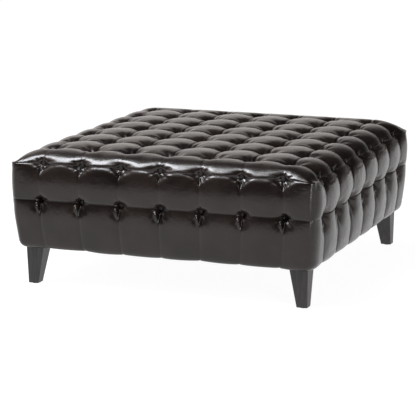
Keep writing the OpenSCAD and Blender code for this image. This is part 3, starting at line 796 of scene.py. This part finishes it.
# the slab's rounded edge, each dimple's depth and reach, and the gap where two sheets meet
SLAB_ROUND = 0.010
SLAB_DIMPLE, SLAB_DIMPLE_REACH = 0.0035, 0.008
SIDE_DIMPLE, SIDE_DIMPLE_REACH = 0.0016, 0.007
SIDE_GAP = 0.0004

# both kinds of pad have lines close together at the tufts and along their edges
tuft_places = (np.arange(1, CELLS) - CELLS / 2) * PITCH
close = np.array([-0.012, -0.006, 0.0, 0.006, 0.012])
edge_lines = np.array([0.0, 0.0015, 0.004, 0.008, 0.014, 0.025])
foam_lines = np.unique(np.round(np.concatenate([
    (tuft_places[:, None] + close).ravel(), (tuft_places[:-1] + PITCH / 2),
    edge_lines - FOAM_OUT, FOAM_OUT - edge_lines]), 5))


def foam_pad(name, front, behind, node):
    """Closes two grids of points, the front face and the one behind it, into one foam pad."""
    nets = np.arange(front[..., 0].size).reshape(front.shape[:2])
    face = np.stack([nets[:-1, :-1], nets[1:, :-1], nets[1:, 1:], nets[:-1, 1:]], -1)
    rear = face + nets.size
    rim = np.concatenate([nets[:-1, 0], nets[-1, :-1], nets[:0:-1, -1], nets[0, :0:-1]])
    ahead = np.roll(rim, -1)
    wall = np.stack([rim, rim + nets.size, ahead + nets.size, ahead], -1)
    pad = smooth_mesh(
        name, np.concatenate([front.reshape(-1, 3), behind.reshape(-1, 3)]),
        np.concatenate([face.reshape(-1, 4), rear[..., ::-1].reshape(-1, 4), wall]))
    pad.data.materials.append(foam_finish)
    bevel = pad.modifiers.new("soft_edge", "BEVEL")
    bevel.width, bevel.segments, bevel.limit_method = 0.0012, 2, "ANGLE"
    bevel.angle_limit = math.radians(55)
    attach(pad, "root")
    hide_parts(node)


slab_x, slab_y = np.meshgrid(foam_lines, foam_lines, indexing="ij")
edge_gap = FOAM_OUT - np.maximum(np.abs(slab_x), np.abs(slab_y))
past = np.maximum(SLAB_ROUND - edge_gap, 0)
round_off = SLAB_ROUND - np.sqrt(np.maximum(SLAB_ROUND ** 2 - past ** 2, 0))
dimple = sum(
    SLAB_DIMPLE * np.exp(-((slab_x - x) ** 2 + (slab_y - y) ** 2) / SLAB_DIMPLE_REACH ** 2)
    for x in tuft_places for y in tuft_places)
foam_pad("foam_slab", np.stack([slab_x, slab_y, FOAM_TOP - round_off - dimple], -1),
         np.stack([slab_x, slab_y, np.full_like(slab_x, DECK_Z)], -1), "foam_top")

# the lines up a side sheet lie closest where the middle pleat's twine dimples it
rise_lines = np.array([0.0, 0.004, 0.030, 0.070, 0.110, 0.130, 0.139, 0.145, 0.1505, 0.156, 0.162,
                       0.171, 0.190, 0.208, 0.2120]) + FOAM_LOW
for name, east_turn, north_turn in (("front", 0, -1), ("right", 1, 0), ("back", 0, 1),
                                    ("left", -1, 0)):
    far, tall = np.meshgrid(foam_lines / FOAM_OUT, rise_lines, indexing="ij")
    press = sum(
        SIDE_DIMPLE * np.exp(-((far * FOAM_OUT - x) ** 2 + (tall - MIDDLE_Z) ** 2)
                             / SIDE_DIMPLE_REACH ** 2)
        for x in tuft_places)
    faces = []
    for out, half in ((FOAM_OUT - press, FOAM_OUT - SIDE_GAP), (FOAM_IN, FOAM_IN - SIDE_GAP)):
        faces.append(np.stack([east_turn * out - north_turn * far * half,
                               north_turn * out + east_turn * far * half, tall], -1))
    foam_pad("side_foam_" + name, faces[0], faces[1], "foam_" + name)

# Dust cover
# Black spun polypropylene under the frame. Its edges are folded under and stapled, it is cut round
# the four bolts, and it hangs a little in the middle.
dust_finish, web = paint("dust_cloth")
spot = web.node("ShaderNodeTexCoord", out=3)
bonds_x, bonds_y = spot.xyz()[:2]
bonds = ((bonds_x * 3900.0).sine() * (bonds_y * 3900.0).sine()).step(0.35, 0.75)
strands = web.node("ShaderNodeTexNoise", {}, {"Vector": spot, "Scale": 420.0, "Detail": 5.0,
                                              "Distortion": 1.2})
creases = web.node("ShaderNodeTexNoise", {}, {"Vector": spot, "Scale": 11.0, "Detail": 3.0})
spun_black = strands.step(0.3, 0.7).mix((0.014, 0.014, 0.015), (0.032, 0.032, 0.034))
end_with(web, spun_black, 0.72 + strands * 0.18,
         strands * 0.00012 - bonds * 0.00010 + creases * 0.0016)

# half its width, the fold along each edge, and its height; the bolts' places and holes; where the
# fold starts and how thick it lies; and how far it sags and over what half width
DUST_HALF, DUST_FOLD, DUST_Z = 0.450, 0.012, 0.1262
BOLT_AT, BOLT_HOLE, EIGHTH_TURN = 0.429, 0.006, 0.414
FOLD_START, FOLD_LAY = 0.0004, 0.0002
SAG, SAG_HALF = 0.0024, 0.405
near_bolt = BOLT_AT + BOLT_HOLE * np.array([-1.0, -EIGHTH_TURN, EIGHTH_TURN, 1.0])
outer_lines = np.concatenate([near_bolt, [0.441, 0.446, DUST_HALF, DUST_HALF + FOLD_START,
                                          DUST_HALF + DUST_FOLD]])
dust_lines = np.concatenate([-outer_lines[::-1], np.linspace(-0.41, 0.41, 33), outer_lines])
cut_x, cut_y = np.meshgrid(dust_lines, dust_lines, indexing="ij")
folded_x = np.abs(cut_x) > DUST_HALF + FOLD_START / 4
folded_y = np.abs(cut_y) > DUST_HALF + FOLD_START / 4
sheet_x = np.where(folded_x, np.sign(cut_x) * (2 * DUST_HALF - np.abs(cut_x)), cut_x)
sheet_y = np.where(folded_y, np.sign(cut_y) * (2 * DUST_HALF - np.abs(cut_y)), cut_y)
sag = (SAG * np.clip(1 - (sheet_x / SAG_HALF) ** 2, 0, 1)
       * np.clip(1 - (sheet_y / SAG_HALF) ** 2, 0, 1))
sheet_z = DUST_Z - sag - FOLD_LAY * folded_x - FOLD_LAY * folded_y

# each bolt's hole is an octagon: its middle cells are left out and its corner cells cut across
corners = np.arange(cut_x.size).reshape(cut_x.shape)
dust_faces = []
for i in range(len(dust_lines) - 1):
    for j in range(len(dust_lines) - 1):
        quad = [corners[i, j], corners[i, j + 1], corners[i + 1, j + 1], corners[i + 1, j]]
        off_x = abs(abs(cut_x[i, j] + cut_x[i + 1, j]) / 2 - BOLT_AT)
        off_y = abs(abs(cut_y[i, j] + cut_y[i, j + 1]) / 2 - BOLT_AT)
        in_x, in_y = off_x < BOLT_HOLE * 0.9, off_y < BOLT_HOLE * 0.9
        if in_x and in_y and min(off_x, off_y) < 0.001:
            continue
        if in_x and in_y:
            reach = [np.hypot(abs(cut_x.flat[q]) - BOLT_AT, abs(cut_y.flat[q]) - BOLT_AT)
                     for q in quad]
            quad.pop(int(np.argmin(reach)))
        dust_faces.append([int(q) for q in quad])
dust_points = np.stack([sheet_x, sheet_y, sheet_z], -1).reshape(-1, 3).tolist()
dust_mesh = bpy.data.meshes.new("dust_sheet")
dust_mesh.from_pydata(dust_points, [], dust_faces)
dust_mesh.update()
dust_sheet = bpy.data.objects.new("dust_sheet", dust_mesh)
bpy.context.collection.objects.link(dust_sheet)
dust_mesh.materials.append(dust_finish)
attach(dust_sheet, "root")
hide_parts("dust_cover")
